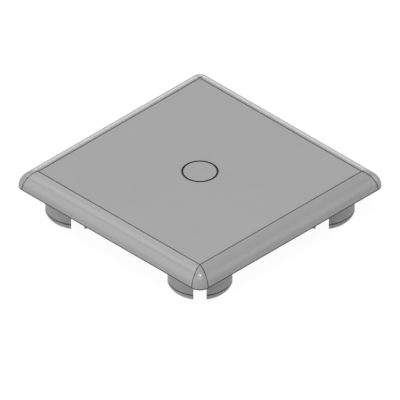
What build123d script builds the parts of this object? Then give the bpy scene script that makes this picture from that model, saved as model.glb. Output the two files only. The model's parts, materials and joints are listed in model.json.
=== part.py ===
from build123d import *
import os

# A push-in end cap for square structural profile, moulded in one piece.
# Frame: the origin is the centre of the seat face (the plate's underside), which lies on
# the profile's cut end. +Z points to the visible face, and X and Y run along the sides.

# Driving sizes, in millimetres

# Cover plate. Its rim is rolled in one quarter round from the top face to the seat face,
# so the plate's thickness is also the rim's radius, and there is no straight side wall.
plate_side = 60.0
plate_thickness = 4.0
corner_blend_radius = 2.65

# Fine ring groove in the middle of the visible face, round a disc that stays flush.
disc_diameter = 7.85
groove_width = 0.22
groove_depth = 0.5

# Split pegs, one in each corner chamber of the profile.
peg_spacing = 39.35
peg_diameter = 15.1
peg_length = 7.9
peg_wall = 2.6
peg_tip_radius = 2.2
slot_width = 3.0

# Sizes that follow from those above

rim_radius = plate_thickness
flat_side = plate_side - 2 * rim_radius
peg_radius = peg_diameter / 2
peg_bore_radius = peg_radius - peg_wall
tip_round = min(peg_tip_radius, peg_wall)


def rolled_bar():
    """One straight bar with the plate's section: flat faces between two quarter rounds."""
    half_flat = flat_side / 2
    half_side = plate_side / 2
    with BuildPart() as bar:
        with BuildSketch(Plane.XZ):
            with BuildLine():
                Line((-half_side, 0), (half_side, 0))
                CenterArc((half_flat, 0), rim_radius, 0, 90)
                Line((half_flat, rim_radius), (-half_flat, rim_radius))
                CenterArc((-half_flat, 0), rim_radius, 90, 90)
            make_face()
        extrude(amount=half_side, both=True)
    return bar.part


def plate():
    """Two rolled bars crossed at right angles, with a rolling-ball blend on each mitre."""
    bar = rolled_bar()
    crossed = bar & bar.rotate(Axis.Z, 90)
    mitres = crossed.edges().filter_by(GeomType.ELLIPSE)
    return fillet(mitres, radius=corner_blend_radius)


def ring_groove():
    """The material cut out of the visible face by the ring groove."""
    disc_radius = disc_diameter / 2
    floor = Plane.XY.offset(plate_thickness - groove_depth)
    with BuildPart() as groove:
        with BuildSketch(floor):
            Circle(disc_radius + groove_width)
            Circle(disc_radius, mode=Mode.SUBTRACT)
        extrude(amount=groove_depth)
    return groove.part


def split_peg():
    """A hollow round peg on the seat face, cut into four prongs by two crossed slots."""
    with BuildPart() as peg:
        with BuildSketch(Plane.XZ):
            with BuildLine():
                Line((peg_bore_radius, 0), (peg_radius, 0))
                Line((peg_radius, 0), (peg_radius, tip_round - peg_length))
                CenterArc((peg_radius - tip_round, tip_round - peg_length), tip_round, 0, -90)
                if peg_wall > tip_round:
                    Line((peg_radius - tip_round, -peg_length), (peg_bore_radius, -peg_length))
                Line((peg_bore_radius, -peg_length), (peg_bore_radius, 0))
            make_face()
        revolve(axis=Axis.Z)
        with Locations(Location((0, 0, 0), (0, 0, 45))):
            for turn in (0, 90):
                Box(
                    peg_diameter,
                    slot_width,
                    peg_length,
                    rotation=(0, 0, turn),
                    align=(Align.CENTER, Align.CENTER, Align.MAX),
                    mode=Mode.SUBTRACT,
                )
    return peg.part


def end_cap():
    """The whole moulding. Every peg's slots lie along the plate's diagonals."""
    places = GridLocations(peg_spacing, peg_spacing, 2, 2)
    pegs = [place * split_peg() for place in places]
    return plate() - ring_groove() + pegs


os.makedirs("parts", exist_ok=True)
cap = end_cap()
cap.label = "end_cap"
export_step(cap, "parts/end_cap.step")
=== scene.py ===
import json
import math

import bpy
from mathutils import Matrix, Vector


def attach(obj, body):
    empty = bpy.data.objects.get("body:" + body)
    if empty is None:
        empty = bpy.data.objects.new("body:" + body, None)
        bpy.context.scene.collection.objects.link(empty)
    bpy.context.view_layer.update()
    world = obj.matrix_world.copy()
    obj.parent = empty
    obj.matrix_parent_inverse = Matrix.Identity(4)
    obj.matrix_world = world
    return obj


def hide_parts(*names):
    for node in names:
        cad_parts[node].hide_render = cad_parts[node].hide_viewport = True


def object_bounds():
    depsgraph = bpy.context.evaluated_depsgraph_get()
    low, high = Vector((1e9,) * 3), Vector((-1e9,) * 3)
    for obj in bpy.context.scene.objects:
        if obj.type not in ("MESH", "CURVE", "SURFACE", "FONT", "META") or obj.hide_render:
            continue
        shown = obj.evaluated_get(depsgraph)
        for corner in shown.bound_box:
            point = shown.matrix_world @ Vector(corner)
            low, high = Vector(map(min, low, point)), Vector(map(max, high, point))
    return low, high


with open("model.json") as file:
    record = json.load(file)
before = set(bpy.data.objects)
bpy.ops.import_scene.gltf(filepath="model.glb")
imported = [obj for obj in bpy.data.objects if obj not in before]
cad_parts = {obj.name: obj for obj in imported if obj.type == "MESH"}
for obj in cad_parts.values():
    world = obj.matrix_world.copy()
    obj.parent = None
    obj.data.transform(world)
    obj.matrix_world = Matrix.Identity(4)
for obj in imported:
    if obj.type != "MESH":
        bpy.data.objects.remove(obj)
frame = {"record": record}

cad_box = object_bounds()

MM = 0.001

# Sizes of the moulding, in metres. What the frame gives is taken from it, and the rest is as in the
# part's source.
low, high = cad_box
plate_side = high.x - low.x
plate_thickness = high.z
rim_radius = plate_thickness
flat_half = plate_side / 2 - rim_radius
corner_blend_radius = 2.65 * MM
corner_spread = (rim_radius - corner_blend_radius) / rim_radius
disc_radius = 3.925 * MM
groove_width = 0.22 * MM
groove_depth = 0.5 * MM

peg_mounts = [mount for mount in frame["record"]["mounts"] if mount["kind"] == "pin"]
peg_place = max(mount["pos_m"][0] for mount in peg_mounts)
peg_radius = peg_mounts[0]["dims"]["r_mm"] * MM
peg_length = -low.z
peg_wall = 2.6 * MM
peg_tip_radius = 2.2 * MM
slot_width = 3.0 * MM

# Radii that a mould leaves where two faces meet: on the groove, on outer edges and at the pegs' roots.
groove_lip = 0.03 * MM
edge_radius = 0.05 * MM
root_radius = 0.2 * MM

# Steps of the mesh, and how near counts as the same.
rim_steps = 32
blend_steps = 20
ring_steps = 128
peg_steps = 24
tip_steps = 12
edge_steps = 3
quarter = math.pi / 2
same_point = 0.0005 * MM
same_line = 0.005 * MM
same_angle = 1e-6
sharp_angle = math.radians(40)

# Tones of the plastic, in linear light.
dark_tone = 0.335
light_tone = 0.385
line_tone = 0.015
# The next tone darkens the ring groove and its lips: painted shade, with a little dust.
groove_shade_and_dust_tone = 0.012
rubbed_tone = 0.52
scratched_tone = 0.55

# How much of its tone each mark gives.
border_strength = 0.9
seam_strength = 0.8
parting_strength = 0.95
tip_line_strength = 0.85
groove_shade_and_dust_strength = 1.0
rubbed_strength = 0.25
scratched_strength = 0.05

# Roughness of the polished rim, the grained face and the duller underside, and what unevenness and
# marks add to it.
satin_roughness = 0.15
grained_roughness = 0.5
underside_roughness = 0.4
uneven_roughness = 0.1
scratched_roughness = 0.08
rubbed_roughness = -0.05

# Heights of the finish, in millimetres.
face_grain_height = 0.014
satin_grain_height = 0.0002
line_depth = 0.004
scratch_depth = 0.002

# Places and widths of the marks, in millimetres. skin is how far off a face still counts as on it.
skin = 0.02
border_half_width = 0.115
seam_half_width = 0.12
parting_half_width = 0.27
tip_line_half_width = 0.16
line_softness = 0.08
# How far the groove's painted shade and dust reach onto its lips, and over what width they fade out.
groove_shade_and_dust_spill = 0.2
groove_shade_and_dust_fade = 0.1
foot_rub_reach = 0.9
tip_rub_reach = 1.1
rubbed_band = 0.6

# The plastic's patterns: their noise, their number per millimetre and the ranges of noise that show.
grain_noise = {"Detail": 2.0, "Roughness": 0.6}
cloud_noise = {"Detail": 2.0}
sway_noise = {"Detail": 1.0}
hairline_noise = {"Detail": 0.0}
rub_noise = {"Detail": 4.0, "Roughness": 0.65}
face_grains_per_mm = 3.4
satin_grains_per_mm = 6.0
middle_of_noise = 0.5
fine_share = 0.7
pit_share = 0.5
clouds_per_mm = 0.12
hairline_sets = ((0.5, 0.70), (-1.1, 0.72))
hairline_stretch = (0.09, 4.5, 1.0)
hairline_softness = 0.035
hairline_patches = (0.48, 0.62)
rubs_per_mm = 0.6
rub_patches = (0.35, 0.7, 0.15, 1.0)
rub_fall = 1.5

# Camera: the photograph is an exact isometric view over one corner, in parallel projection.
photo_side_px = 400
px_per_mm = 4.394
face_middle_px = Vector((199.97, 171.32))
view_azimuth = math.radians(45)
view_elevation = math.atan(math.sqrt(0.5))
camera_distance = 0.5

# Floor: white paper. paper_glow is the share of its look that is plain white instead of lit.
floor_side = 4.0
paper_tone = 0.8
paper_glow = 0.88
paper_white = 1.08

# Lamps: square soft boxes aimed at the object. Each has a name, its azimuth to the right of the
# camera's side and its elevation in degrees, its side in metres and its power in watts. The long rims
# mirror a low lamp near 45 or 135 degrees to someone who looks along them, so the one that stands
# there is kept out of reflections.
lamp_distance = 1.0
unmirrored_lamps = ("front_left_low",)
lamps = (
    ("front_box", 0, 62, 0.75, 4.8),
    ("front_spot", -1, 71.5, 0.04, 1.9),
    ("front_left_low", -31, 6, 0.5, 1.2),
    ("left_box", -78, 20, 0.75, 2.1),
    ("left_back_box", -120, 45, 0.5, 1.6),
    ("back_high", -166, 50, 0.35, 0.5),
    ("right_box", 90, 20, 0.5, 0.8),
    ("right_back_box", 112, 24, 0.5, 1.7),
    ("back_low", 180, 4, 0.6, 2.1),
    ("table_light", 0, -90, 1.0, 3.2),
)

# World: how bright it is as a light, and the background's share of white that reflections show.
world_level = 0.04
mirrored_level = 0.7


def start_edit(piece):
    bpy.ops.object.select_all(action="DESELECT")
    piece.select_set(True)
    bpy.context.view_layer.objects.active = piece
    bpy.ops.object.mode_set(mode="EDIT")
    bpy.ops.mesh.select_mode(type="EDGE")
    bpy.ops.mesh.select_all(action="DESELECT")


def end_edit():
    bpy.ops.object.mode_set(mode="OBJECT")


def pick(piece, kind, wanted):
    """Selects the vertices, edges or faces whose corners all pass the test, and nothing else."""
    bpy.ops.mesh.select_mode(type=kind)
    bpy.ops.mesh.select_all(action="DESELECT")
    bpy.ops.object.mode_set(mode="OBJECT")
    mesh = piece.data
    if kind == "VERT":
        parts = [(vertex, [vertex.index]) for vertex in mesh.vertices]
    elif kind == "EDGE":
        parts = [(edge, edge.vertices) for edge in mesh.edges]
    else:
        parts = [(face, face.vertices) for face in mesh.polygons]
    for part, corners in parts:
        part.select = all(wanted(mesh.vertices[i].co) for i in corners)
    bpy.ops.object.mode_set(mode="EDIT")


def join(pieces):
    bpy.ops.object.select_all(action="DESELECT")
    for piece in pieces:
        piece.select_set(True)
    bpy.context.view_layer.objects.active = pieces[0]
    bpy.ops.object.join()
    return pieces[0]


def quarter_turned_copies(piece):
    """The piece and three copies, a quarter turn apart about the Z axis, joined in one mesh."""
    copies = [piece]
    for turn in (1, 2, 3):
        copy = piece.copy()
        copy.data = piece.data.copy()
        copy.data.transform(Matrix.Rotation(turn * quarter, 4, "Z"))
        bpy.context.scene.collection.objects.link(copy)
        copies.append(copy)
    return join(copies)


def recalculate_normals():
    bpy.ops.mesh.select_all(action="SELECT")
    bpy.ops.mesh.normals_make_consistent(inside=False)


def blend_point(rise, across):
    """A point of the corner blend, made by a ball that rolls down between two rims. rise is the angle
    up the rims, and across runs from 0, where the ball touches one rim, to 1 on the other."""
    reach = rim_radius - corner_blend_radius
    beside = flat_half + reach * math.cos(rise)
    ball = Vector((beside, beside, reach * math.sin(rise)))
    first = Vector((math.cos(rise), 0, math.sin(rise)))
    second = Vector((0, math.cos(rise), math.sin(rise)))
    if rise > quarter - same_angle:
        return ball + corner_blend_radius * first
    return ball + corner_blend_radius * first.slerp(second, across)


def corner_blend():
    bpy.ops.object.select_all(action="DESELECT")
    bpy.ops.mesh.primitive_grid_add(x_subdivisions=rim_steps, y_subdivisions=blend_steps, size=1)
    patch = bpy.context.object
    for vertex in patch.data.vertices:
        vertex.co = blend_point((vertex.co.x + 0.5) * quarter, vertex.co.y + 0.5)
    return patch


def rolled_rim():
    """Four corner blends with the straight rims bridged between them, and a small radius at the foot.
    It is left open at the visible face and at the seat face."""
    rim = quarter_turned_copies(corner_blend())
    start_edit(rim)
    bpy.ops.mesh.select_all(action="SELECT")
    bpy.ops.mesh.remove_doubles(threshold=same_point)
    for side in range(4):
        unturn = Matrix.Rotation(-side * quarter, 3, "Z")

        def ends_rim(point):
            p = unturn @ point
            outward = p.x - flat_half
            beside = abs(p.y) - flat_half - outward * corner_spread
            return outward > -same_point and abs(beside) < same_line

        pick(rim, "EDGE", ends_rim)
        bpy.ops.mesh.bridge_edge_loops()
    pick(rim, "EDGE", lambda point: abs(point.z) < same_point)
    bpy.ops.mesh.edge_face_add()
    recalculate_normals()
    pick(rim, "EDGE", lambda point: abs(point.z) < same_point)
    bpy.ops.mesh.bevel(offset=edge_radius, segments=edge_steps, affect="EDGES", clamp_overlap=False)
    pick(rim, "FACE", lambda point: abs(point.z) < same_point)
    bpy.ops.mesh.delete(type="FACE")
    end_edit()
    return rim


def lip_steps():
    """Places on a quarter round of radius 1, as the way along the face and the way down from it."""
    turns = [step * quarter / edge_steps for step in range(edge_steps + 1)]
    return [(math.sin(turn), 1 - math.cos(turn)) for turn in turns]


def ring_groove():
    """The middle of the visible face: a disc, and round it the groove, worked outwards ring by ring."""
    outer_radius = disc_radius + groove_width
    floor = plate_thickness - groove_depth
    inner_lip = [
        (disc_radius - groove_lip * (1 - along), plate_thickness - groove_lip * down)
        for along, down in lip_steps()
    ]
    outer_lip = [
        (outer_radius + groove_lip * (1 - along), plate_thickness - groove_lip * down)
        for along, down in reversed(lip_steps())
    ]
    section = inner_lip + [(disc_radius, floor), (outer_radius, floor)] + outer_lip
    bpy.ops.object.select_all(action="DESELECT")
    radius, height = section[0]
    bpy.ops.mesh.primitive_circle_add(
        vertices=ring_steps, radius=radius, fill_type="NGON", location=(0, 0, height)
    )
    ring = bpy.context.object
    bpy.ops.object.transform_apply(location=True)
    start_edit(ring)
    pick(ring, "EDGE", lambda point: True)
    for next_radius, next_height in section[1:]:
        bpy.ops.mesh.extrude_edges_move()
        grow = next_radius / radius
        bpy.ops.transform.resize(value=(grow, grow, 1), center_override=(0, 0, 0))
        bpy.ops.transform.translate(value=(0, 0, next_height - height))
        radius, height = next_radius, next_height
    end_edit()
    return ring


def fill_between(pieces, height):
    """Joins the pieces and fills the flat face between their open edges at one height."""
    whole = join(pieces)
    start_edit(whole)
    bpy.ops.mesh.select_non_manifold(extend=False)
    bpy.ops.object.mode_set(mode="OBJECT")
    mesh = whole.data
    for edge in mesh.edges:
        ends = [mesh.vertices[i].co for i in edge.vertices]
        if any(abs(end.z - height) > same_point for end in ends):
            edge.select = False
    bpy.ops.object.mode_set(mode="EDIT")
    bpy.ops.mesh.fill()
    end_edit()
    return whole


def between_slots(point):
    """Moves a point of a spun quarter of the wall so that the quarter's ends lie on the slots' faces."""
    radius = math.hypot(point.x, point.y)
    share = abs(math.atan2(point.y, point.x)) / quarter
    reach = quarter / 2 - math.asin(slot_width / 2 / radius)
    turn = (2 * share - 1) * reach
    return Vector((radius * math.cos(turn), radius * math.sin(turn), point.z))


def prong():
    """One of a peg's four prongs, about the peg's own axis and open at its root: the wall's section is
    spun through a quarter turn, cut back to the slots, rounded on its edges and flared at its root."""
    bpy.ops.object.select_all(action="DESELECT")
    wall_length = peg_length - root_radius
    bpy.ops.mesh.primitive_plane_add(
        size=1,
        rotation=(quarter, 0, 0),
        location=(peg_radius - peg_wall / 2, 0, -root_radius - wall_length / 2),
    )
    piece = bpy.context.object
    piece.scale = (peg_wall, wall_length, 1)
    bpy.ops.object.transform_apply(location=True, rotation=True, scale=True)
    start_edit(piece)
    pick(piece, "VERT", lambda point: point.x > peg_radius - same_point and point.z < -peg_length / 2)
    bpy.ops.mesh.bevel(offset=peg_tip_radius, segments=tip_steps, affect="VERTICES", clamp_overlap=False)
    bpy.ops.mesh.select_all(action="SELECT")
    bpy.ops.mesh.spin(steps=peg_steps, angle=quarter, center=(0, 0, 0), axis=(0, 0, 1))
    bpy.ops.object.mode_set(mode="OBJECT")
    for vertex in piece.data.vertices:
        vertex.co = between_slots(vertex.co)
    bpy.ops.object.mode_set(mode="EDIT")
    recalculate_normals()
    pick(piece, "FACE", lambda point: abs(point.z + root_radius) < same_point)
    bpy.ops.mesh.delete(type="FACE")
    bpy.ops.mesh.select_mode(type="EDGE")
    bpy.ops.mesh.select_all(action="DESELECT")
    bpy.ops.mesh.edges_select_sharp(sharpness=sharp_angle)
    bpy.ops.mesh.bevel(offset=edge_radius, segments=edge_steps, affect="EDGES", clamp_overlap=False)
    pick(piece, "EDGE", lambda point: abs(point.z + root_radius) < same_point)
    flare_root()
    end_edit()
    return piece


def flare_root():
    """Carries the open edge of a wall up to the seat face in a quarter round that spreads outwards."""
    for (along, down), (next_along, next_down) in zip(lip_steps(), lip_steps()[1:]):
        bpy.ops.mesh.extrude_edges_move()
        bpy.ops.transform.translate(value=(0, 0, root_radius * (next_along - along)))
        bpy.ops.transform.shrink_fatten(value=root_radius * (next_down - down), use_even_offset=True)


def split_pegs():
    peg = quarter_turned_copies(prong())
    peg.data.transform(Matrix.Translation((peg_place, peg_place, 0)))
    return quarter_turned_copies(peg)


def end_cap():
    cap = fill_between([rolled_rim(), ring_groove()], plate_thickness)
    cap = fill_between([cap, split_pegs()], 0)
    start_edit(cap)
    recalculate_normals()
    end_edit()
    bpy.ops.object.shade_smooth_by_angle(angle=sharp_angle)
    even = cap.modifiers.new("even_shading", "WEIGHTED_NORMAL")
    even.keep_sharp = True
    bpy.ops.object.modifier_apply(modifier=even.name)
    cap.name = "end_cap_moulding"
    return cap


def grey(tone):
    return (tone, tone, tone, 1.0)


def feed(tree, socket, value):
    """Links the socket to what feeds it, or sets its value."""
    if isinstance(value, bpy.types.NodeSocket):
        tree.links.new(value, socket)
    else:
        socket.default_value = value


def add(tree, kind, settings=None, **inputs):
    """Adds a node. settings are its own properties. inputs go by socket name, with _ for a space, or by
    number, as in _0, and each is a value or the socket that feeds it."""
    node = tree.nodes.new(kind)
    for name, value in (settings or {}).items():
        setattr(node, name, value)
    for name, value in inputs.items():
        socket = int(name[1:]) if name.startswith("_") else name.replace("_", " ")
        feed(tree, node.inputs[socket], value)
    return node


def maths(tree, operation, *values):
    node = tree.nodes.new("ShaderNodeMath")
    node.operation = operation
    for socket, value in zip(node.inputs, values):
        feed(tree, socket, value)
    return node.outputs["Value"]


def ramp(tree, value, start, end, low_result=0.0, high_result=1.0):
    """Runs smoothly from one result to the other while the value goes from start to end."""
    node = add(
        tree,
        "ShaderNodeMapRange",
        {"interpolation_type": "SMOOTHSTEP"},
        Value=value,
        From_Min=start,
        From_Max=end,
        To_Min=low_result,
        To_Max=high_result,
    )
    return node.outputs["Result"]


def blend(tree, factor, first, second):
    """Mixes two colours."""
    node = add(tree, "ShaderNodeMix", {"data_type": "RGBA"}, _0=factor, _6=first, _7=second)
    return node.outputs[2]


def new_group(name, inputs, outputs):
    """A shader node group. inputs maps each socket's name to its default, a number or a vector, and
    outputs lists names of plain values."""
    tree = bpy.data.node_groups.new(name, "ShaderNodeTree")
    for socket_name, default in inputs.items():
        kind = "NodeSocketFloat" if isinstance(default, float) else "NodeSocketVector"
        socket = tree.interface.new_socket(socket_name, in_out="INPUT", socket_type=kind)
        socket.default_value = default
    for socket_name in outputs:
        tree.interface.new_socket(socket_name, in_out="OUTPUT", socket_type="NodeSocketFloat")
    return tree, tree.nodes.new("NodeGroupInput").outputs, tree.nodes.new("NodeGroupOutput").inputs


def spark_grain_group():
    """The even grain that spark erosion leaves in a mould, and that the moulding takes over."""
    tree, given, result = new_group(
        "spark_grain",
        {"Place": (0, 0, 0), "Grains per mm": face_grains_per_mm},
        ["Height", "Tone"],
    )
    place, grains = given["Place"], given["Grains per mm"]
    fine = add(tree, "ShaderNodeTexNoise", Vector=place, Scale=grains, **grain_noise)
    pits = add(tree, "ShaderNodeTexVoronoi", Vector=place, Scale=grains)
    cloud = add(tree, "ShaderNodeTexNoise", Vector=place, Scale=clouds_per_mm, **cloud_noise)
    bumps = maths(tree, "MULTIPLY", fine.outputs["Fac"], fine_share)
    hollows = maths(tree, "MULTIPLY", pits.outputs["Distance"], pit_share)
    feed(tree, result["Height"], maths(tree, "ADD", bumps, hollows))
    both = maths(tree, "ADD", fine.outputs["Fac"], cloud.outputs["Fac"])
    feed(tree, result["Tone"], maths(tree, "DIVIDE", both, 2.0))
    return tree


def hairlines_group():
    """Short fine scratches, all more or less one way, as a part gets in a box with others."""
    turn, scarcity = hairline_sets[0]
    tree, given, result = new_group(
        "hairlines", {"Place": (0, 0, 0), "Turn": turn, "Scarcity": scarcity}, ["Mask"]
    )
    place = given["Place"]
    about_z = {"rotation_type": "Z_AXIS"}
    turned = add(tree, "ShaderNodeVectorRotate", about_z, Vector=place, Angle=given["Turn"])
    each_way = {"operation": "MULTIPLY"}
    long = add(tree, "ShaderNodeVectorMath", each_way, _0=turned.outputs[0], _1=hairline_stretch)
    sway = add(tree, "ShaderNodeTexNoise", Vector=place, Scale=clouds_per_mm, **sway_noise)
    swayed = add(tree, "ShaderNodeVectorMath", _0=long.outputs[0], _1=sway.outputs["Color"])
    lines = add(tree, "ShaderNodeTexNoise", Vector=swayed.outputs[0], Scale=1.0, **hairline_noise)
    full = maths(tree, "ADD", given["Scarcity"], hairline_softness)
    drawn = ramp(tree, lines.outputs["Fac"], given["Scarcity"], full)
    patches = add(tree, "ShaderNodeTexNoise", Vector=place, Scale=clouds_per_mm, **cloud_noise)
    shown = ramp(tree, patches.outputs["Fac"], *hairline_patches)
    feed(tree, result["Mask"], maths(tree, "MULTIPLY", drawn, shown))
    return tree


def rubbed_edge_group():
    """Where an edge is rubbed by handling: full at the edge, broken up, and gone at its reach."""
    tree, given, result = new_group(
        "rubbed_edge", {"Place": (0, 0, 0), "Distance": 0.0, "Reach": foot_rub_reach}, ["Mask"]
    )
    place = given["Place"]
    patches = add(tree, "ShaderNodeTexNoise", Vector=place, Scale=rubs_per_mm, **rub_noise)
    uneven = ramp(tree, patches.outputs["Fac"], *rub_patches)
    reach = maths(tree, "MULTIPLY", given["Reach"], uneven)
    gone = maths(tree, "DIVIDE", given["Distance"], reach)
    left = add(tree, "ShaderNodeClamp", Value=maths(tree, "SUBTRACT", 1.0, gone))
    feed(tree, result["Mask"], maths(tree, "POWER", left.outputs[0], rub_fall))
    return tree


def witness_line_group():
    """The fine line that a mould leaves where two of its surfaces or plates meet."""
    tree, given, result = new_group(
        "witness_line", {"Offset": 0.0, "Half width": seam_half_width}, ["Mask"]
    )
    off_line = maths(tree, "ABSOLUTE", given["Offset"])
    faded = maths(tree, "ADD", given["Half width"], line_softness)
    feed(tree, result["Mask"], ramp(tree, off_line, given["Half width"], faded, 1.0, 0.0))
    return tree


def use(tree, group, **inputs):
    """Places one of the shared effects in a material."""
    return add(tree, "ShaderNodeGroup", {"node_tree": bpy.data.node_groups[group]}, **inputs).outputs


def off_axis(tree, x, y):
    """The distance from a vertical axis, given the two distances along X and Y."""
    flat = add(tree, "ShaderNodeCombineXYZ", X=x, Y=y)
    return add(tree, "ShaderNodeVectorMath", {"operation": "LENGTH"}, _0=flat.outputs[0]).outputs["Value"]


def over_outline(tree, x, y):
    """How far a point lies outside the plate's outline at the foot of the rim, and less than 0 inside."""
    corner = (plate_side / 2 - corner_blend_radius) / MM
    past_x, past_y = [maths(tree, "MAXIMUM", maths(tree, "SUBTRACT", way, corner), 0.0) for way in (x, y)]
    return maths(tree, "SUBTRACT", off_axis(tree, past_x, past_y), corner_blend_radius / MM)


def witness_lines(tree, x, y, z, outside):
    """The lines round the flat, beside each corner blend, at the mould's parting round the foot of the
    rim, and where the pegs' tips begin. x and y are distances from the middle, all in millimetres."""
    farther, nearer = maths(tree, "MAXIMUM", x, y), maths(tree, "MINIMUM", x, y)
    past_flat = maths(tree, "SUBTRACT", farther, flat_half / MM)
    beside = maths(tree, "SUBTRACT", nearer, flat_half / MM)
    off_seam = maths(tree, "SUBTRACT", beside, maths(tree, "MULTIPLY", past_flat, corner_spread))
    off_tip = maths(tree, "ADD", z, (peg_length - peg_tip_radius) / MM)
    peg_x, peg_y = [maths(tree, "SUBTRACT", way, peg_place / MM) for way in (x, y)]
    off_peg = off_axis(tree, peg_x, peg_y)

    on_face = maths(tree, "GREATER_THAN", z, plate_thickness / MM - skin)
    above_seat = maths(tree, "GREATER_THAN", z, skin)
    on_rim = maths(tree, "MULTIPLY", above_seat, maths(tree, "GREATER_THAN", past_flat, 0.0))
    on_foot = maths(tree, "GREATER_THAN", outside, -edge_radius / MM - skin)
    on_wall = maths(tree, "GREATER_THAN", off_peg, peg_radius / MM - skin)
    lines = (
        (past_flat, on_face, border_half_width, border_strength),
        (off_seam, on_rim, seam_half_width, seam_strength),
        (z, on_foot, parting_half_width, parting_strength),
        (off_tip, on_wall, tip_line_half_width, tip_line_strength),
    )
    darkest = 0.0
    for offset, there, half_width, strength in lines:
        line = use(tree, "witness_line", Offset=offset, Half_width=half_width)["Mask"]
        shown = maths(tree, "MULTIPLY", maths(tree, "MULTIPLY", line, there), strength)
        darkest = maths(tree, "MAXIMUM", darkest, shown)
    return darkest


def scratches(tree, place):
    sets = [
        use(tree, "hairlines", Place=place, Turn=turn, Scarcity=scarcity)["Mask"]
        for turn, scarcity in hairline_sets
    ]
    return maths(tree, "MAXIMUM", *sets)


def rubs(tree, place, z, outside):
    """Handling has rubbed the foot of the rim and the pegs' tips."""
    above_foot = maths(tree, "ABSOLUTE", z)
    foot = use(tree, "rubbed_edge", Place=place, Distance=above_foot, Reach=foot_rub_reach)["Mask"]
    over_tips = maths(tree, "ADD", z, peg_length / MM)
    tips = use(tree, "rubbed_edge", Place=place, Distance=over_tips, Reach=tip_rub_reach)["Mask"]
    on_rim = maths(tree, "GREATER_THAN", outside, -rubbed_band)
    return maths(tree, "MAXIMUM", maths(tree, "MULTIPLY", foot, on_rim), tips)


def plastic_masks(tree, place):
    """Where the moulding is grained, where painted shade and a little dust darken its groove, where it is
    under its plate, and where its marks are.
    """
    axes = add(tree, "ShaderNodeSeparateXYZ", Vector=place).outputs
    x, y, z = maths(tree, "ABSOLUTE", axes["X"]), maths(tree, "ABSOLUTE", axes["Y"]), axes["Z"]
    outside = over_outline(tree, x, y)
    on_face = maths(tree, "GREATER_THAN", z, plate_thickness / MM - skin)
    in_border = maths(tree, "LESS_THAN", maths(tree, "MAXIMUM", x, y), flat_half / MM)
    # Painted shade, with a little dust, darkens the groove and its lips on the upper half.
    off_groove = maths(tree, "SUBTRACT", off_axis(tree, x, y), (disc_radius + groove_width / 2) / MM)
    spill_end = groove_width / 2 / MM + groove_shade_and_dust_spill
    shade_and_dust_near_groove = ramp(
        tree, maths(tree, "ABSOLUTE", off_groove), spill_end - groove_shade_and_dust_fade, spill_end, 1.0, 0.0
    )
    upper_half = maths(tree, "GREATER_THAN", z, plate_thickness / MM / 2)
    return {
        "grained": maths(tree, "MULTIPLY", on_face, in_border),
        "groove_shade_and_dust_mask": maths(tree, "MULTIPLY", shade_and_dust_near_groove, upper_half),
        "below": maths(tree, "LESS_THAN", z, skin),
        "lines": witness_lines(tree, x, y, z, outside),
        "scratched": scratches(tree, place),
        "rubbed": rubs(tree, place, z, outside),
    }


def plastic_colour(tree, masks, face_grain):
    colour = blend(tree, face_grain["Tone"], grey(dark_tone), grey(light_tone))
    for mask, strength, tone in (
        ("rubbed", rubbed_strength, rubbed_tone),
        ("scratched", scratched_strength, scratched_tone),
        ("lines", 1.0, line_tone),
        # The groove's dark tone is painted shade, with a little dust.
        ("groove_shade_and_dust_mask", groove_shade_and_dust_strength, groove_shade_and_dust_tone),
    ):
        colour = blend(tree, maths(tree, "MULTIPLY", masks[mask], strength), colour, grey(tone))
    return colour


def plastic_roughness(tree, masks, satin_grain):
    roughness = ramp(tree, masks["grained"], 0.0, 1.0, satin_roughness, grained_roughness)
    uneven = maths(tree, "SUBTRACT", satin_grain["Tone"], middle_of_noise)
    for mask, change in (
        (masks["below"], underside_roughness - satin_roughness),
        (uneven, uneven_roughness),
        (masks["scratched"], scratched_roughness),
        (masks["rubbed"], rubbed_roughness),
    ):
        roughness = maths(tree, "ADD", roughness, maths(tree, "MULTIPLY", mask, change))
    return roughness


def plastic_normal(tree, masks, face_grain, satin_grain):
    face_height = maths(tree, "MULTIPLY", masks["grained"], face_grain_height)
    height = maths(tree, "MULTIPLY", face_grain["Height"], face_height)
    for pattern, rise in (
        (satin_grain["Height"], satin_grain_height),
        (masks["lines"], -line_depth),
        (masks["scratched"], -scratch_depth),
    ):
        height = maths(tree, "ADD", height, maths(tree, "MULTIPLY", pattern, rise))
    return add(tree, "ShaderNodeBump", Distance=MM, Height=height).outputs["Normal"]


def make_plastic():
    """Grey moulded polyamide. The flat of the visible face is grained, the rim has the satin of a
    polished mould, and the seat face and the pegs are duller."""
    material = bpy.data.materials.new("moulded_plastic")
    material.use_nodes = True
    tree = material.node_tree
    shader = tree.nodes["Principled BSDF"]
    coordinates = tree.nodes.new("ShaderNodeTexCoord").outputs["Object"]
    place = add(tree, "ShaderNodeMapping", Vector=coordinates, Scale=(1 / MM,) * 3).outputs["Vector"]
    masks = plastic_masks(tree, place)
    face_grain = use(tree, "spark_grain", Place=place, Grains_per_mm=face_grains_per_mm)
    satin_grain = use(tree, "spark_grain", Place=place, Grains_per_mm=satin_grains_per_mm)
    feed(tree, shader.inputs["Base Color"], plastic_colour(tree, masks, face_grain))
    feed(tree, shader.inputs["Roughness"], plastic_roughness(tree, masks, satin_grain))
    feed(tree, shader.inputs["Normal"], plastic_normal(tree, masks, face_grain, satin_grain))
    return material


def way_to(turn, rise):
    """The direction to a place at an azimuth, counted from the front to the right, and an elevation."""
    return Vector((math.sin(turn) * math.cos(rise), -math.cos(turn) * math.cos(rise), math.sin(rise)))


def put_facing(thing, place, back):
    """Puts a camera or lamp at a place, looking the opposite way to back."""
    thing.location = place
    thing.rotation_mode = "QUATERNION"
    thing.rotation_quaternion = (-back).to_track_quat("-Z", "Y")
    bpy.context.scene.collection.objects.link(thing)


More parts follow.
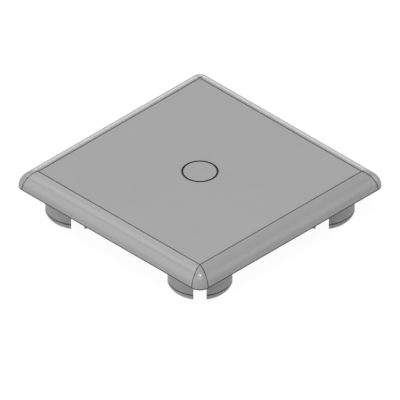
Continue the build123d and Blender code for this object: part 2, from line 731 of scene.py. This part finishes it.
def make_camera():
    """Aimed so that the middle of the visible face falls where it is in the photograph."""
    back = way_to(view_azimuth, view_elevation)
    right = way_to(view_azimuth + quarter, 0)
    up = way_to(view_azimuth, view_elevation + quarter)
    metres_per_px = MM / px_per_mm
    off_px = Vector((photo_side_px / 2, photo_side_px / 2)) - face_middle_px
    face_middle = Vector((0, 0, plate_thickness))
    aim = face_middle + (right * off_px.x - up * off_px.y) * metres_per_px
    data = bpy.data.cameras.new("camera")
    data.type = "ORTHO"
    data.ortho_scale = photo_side_px * metres_per_px
    camera = bpy.data.objects.new("camera", data)
    put_facing(camera, aim + back * camera_distance, back)
    bpy.context.scene.camera = camera


def by_ray(tree, looked_at, mirrored, as_light):
    """One value for rays that look straight or through glass, one for reflections, and one for light."""
    path = tree.nodes.new("ShaderNodeLightPath").outputs
    looking = maths(tree, "MAXIMUM", path["Is Camera Ray"], path["Is Transmission Ray"])
    straight = maths(tree, "MULTIPLY", looking, looked_at - as_light)
    by_gloss = maths(tree, "MULTIPLY", path["Is Glossy Ray"], mirrored - as_light)
    return maths(tree, "ADD", maths(tree, "ADD", straight, by_gloss), as_light)


def make_floor():
    """White paper on a light table. It shows white with the object's soft shadow, lets the table's weak
    light up through it, and can be seen through from below."""
    bpy.ops.object.select_all(action="DESELECT")
    bpy.ops.mesh.primitive_plane_add(size=floor_side, location=(0, 0, low.z))
    floor = bpy.context.object
    floor.name = "floor"
    material = bpy.data.materials.new("floor_paper")
    material.use_nodes = True
    tree = material.node_tree
    tree.nodes.clear()
    paper = add(tree, "ShaderNodeBsdfDiffuse", Color=grey(paper_tone))
    glow = by_ray(tree, paper_white, paper_white * mirrored_level, 0.0)
    white = add(tree, "ShaderNodeEmission", Strength=glow)
    share = by_ray(tree, paper_glow, paper_glow, 0.0)
    seen = add(tree, "ShaderNodeMixShader", _0=share, _1=paper.outputs[0], _2=white.outputs[0])
    from_below = tree.nodes.new("ShaderNodeNewGeometry").outputs["Backfacing"]
    for_light = tree.nodes.new("ShaderNodeLightPath").outputs["Is Shadow Ray"]
    open_way = maths(tree, "MAXIMUM", from_below, for_light)
    clear = tree.nodes.new("ShaderNodeBsdfTransparent")
    surface = add(tree, "ShaderNodeMixShader", _0=open_way, _1=seen.outputs[0], _2=clear.outputs[0])
    output = tree.nodes.new("ShaderNodeOutputMaterial")
    feed(tree, output.inputs["Surface"], surface.outputs[0])
    floor.data.materials.append(material)


def area_lamp(name, azimuth, elevation, side, power):
    back = way_to(view_azimuth + math.radians(azimuth), math.radians(elevation))
    data = bpy.data.lights.new(name, "AREA")
    data.size = side
    data.energy = power
    lamp = bpy.data.objects.new(name, data)
    lamp.visible_camera = False
    lamp.visible_glossy = name not in unmirrored_lamps
    put_facing(lamp, back * lamp_distance, back)


def make_world():
    """White to look at, light grey in reflections, and a weak even light on the object."""
    world = bpy.data.worlds.new("studio")
    world.use_nodes = True
    tree = world.node_tree
    background = tree.nodes["Background"]
    background.inputs["Color"].default_value = grey(1.0)
    feed(tree, background.inputs["Strength"], by_ray(tree, 1.0, mirrored_level, world_level))
    bpy.context.scene.world = world


for make_group in (spark_grain_group, hairlines_group, rubbed_edge_group, witness_line_group):
    make_group()
cap = end_cap()
cap.data.materials.append(make_plastic())
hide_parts("end_cap")
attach(cap, "root")

make_camera()
make_floor()
make_world()
for lamp in lamps:
    area_lamp(*lamp)

bpy.context.scene.view_settings.view_transform = "Standard"
